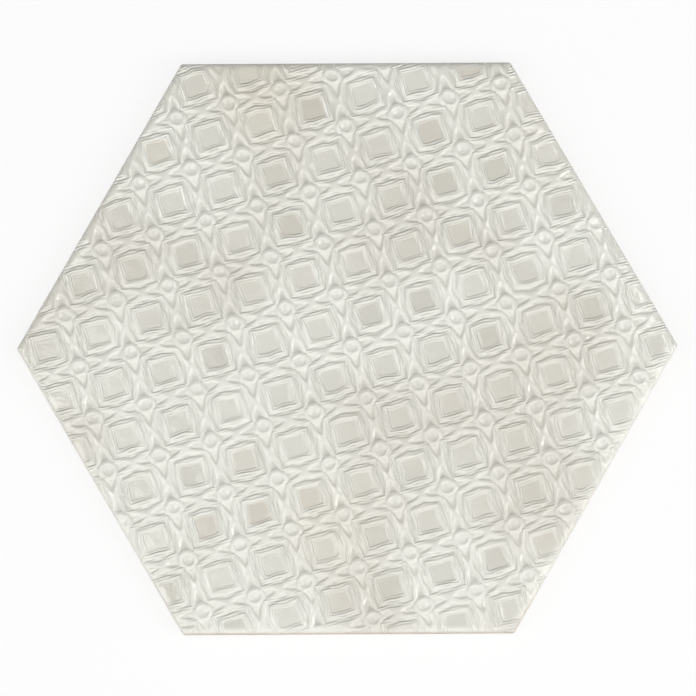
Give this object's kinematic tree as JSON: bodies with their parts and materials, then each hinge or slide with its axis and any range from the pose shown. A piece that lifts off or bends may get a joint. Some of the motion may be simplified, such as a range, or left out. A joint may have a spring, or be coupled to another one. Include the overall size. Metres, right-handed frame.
{
  "type": "hexagon wall tile",
  "caption": "Hexagonal glazed ceramic wall tile with a pressed relief of square sunk panels in octagonal frames and ring bosses, a soft rolled face edge and a keyed bare back",
  "frame": {"origin": "Centre of the bounding box in X and Y, on the plane of the back ribs that the tile lies on", "axes": "+X through two opposite corners of the hexagon, +Y square to a flat side, +Z out of the glazed face"},
  "size_m": [0.2018, 0.175, 0.0085],
  "materials": {
    "glazed_body": "glossy ivory glaze fused to the face and its rolled edge, bare buff biscuit on the sides and the back"
  },
  "bodies": {
    "root": {"hexagon_tile": "glazed_body"}
  },
  "joints": []
}
